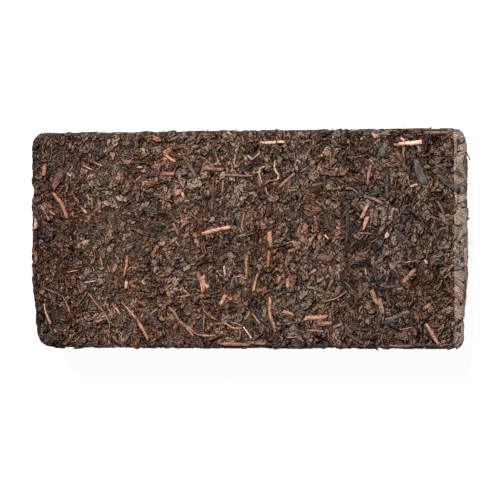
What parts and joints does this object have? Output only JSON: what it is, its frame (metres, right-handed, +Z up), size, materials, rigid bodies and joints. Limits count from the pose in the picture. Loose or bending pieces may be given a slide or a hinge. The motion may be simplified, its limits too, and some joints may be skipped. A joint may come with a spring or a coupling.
{
  "type": "fu brick tea",
  "caption": "Fu brick tea: a flat rectangular block of dark tea leaf and cut stems, pressed hard in a mould, with softly rounded edges.",
  "frame": {"origin": "middle of the underside, on the surface that the brick lies on", "axes": "+X along the length, +Y across the width, +Z up out of the face"},
  "size_m": [0.2519, 0.1249, 0.04],
  "materials": {
    "pressed_tea_leaf": "dry and matt, dark grey-brown leaf with paler cut stems"
  },
  "bodies": {
    "root": {"tea_brick": "pressed_tea_leaf"}
  },
  "joints": []
}
